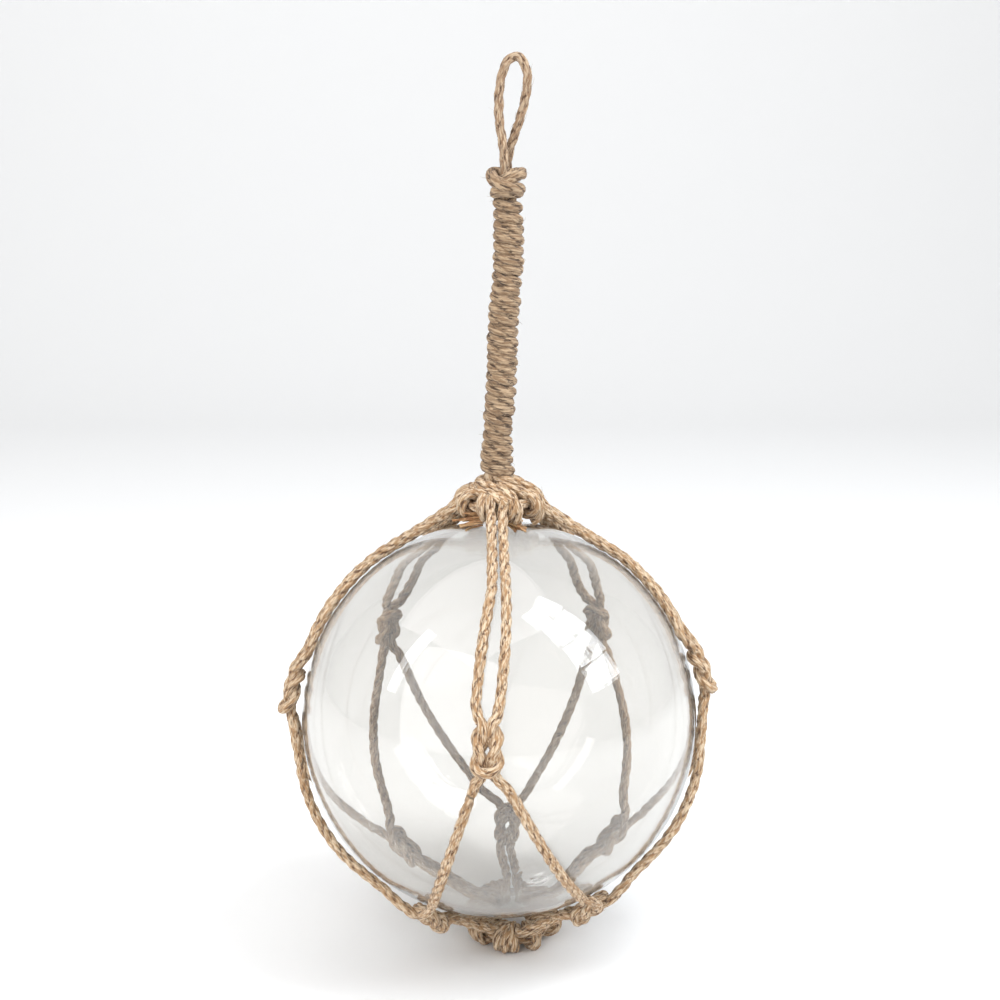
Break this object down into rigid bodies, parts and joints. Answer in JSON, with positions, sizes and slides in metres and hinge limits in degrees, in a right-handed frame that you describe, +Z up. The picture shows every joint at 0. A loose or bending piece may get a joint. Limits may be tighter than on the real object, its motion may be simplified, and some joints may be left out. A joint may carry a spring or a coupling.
{
  "type": "rope-wrapped glass ball",
  "caption": "Clear blown-glass ball held in a hand-tied rope net of knotted doubled cords, with a whipped rope handle rising from the net's top ring and a rope loop above it for hanging.",
  "frame": {"origin": "on the surface that the ball stands on, under the middle of the object's outline", "axes": "+Z up along the handle, -Y towards the viewer, +X to the viewer's right"},
  "size_m": [0.2239, 0.2129, 0.4475],
  "materials": {
    "glass": "clear polished",
    "net_rope": "twisted straw-coloured jute",
    "whipping": "tightly wound grey-brown jute"
  },
  "bodies": {
    "root": {"glass_ball": "glass", "top_ring": "net_rope", "foot_ring": "net_rope", "net_cord_1": "net_rope", "net_cord_2": "net_rope", "net_cord_3": "net_rope", "net_cord_4": "net_rope", "net_cord_5": "net_rope", "wrapped_handle": "whipping", "hanging_loop": "net_rope"}
  },
  "joints": []
}
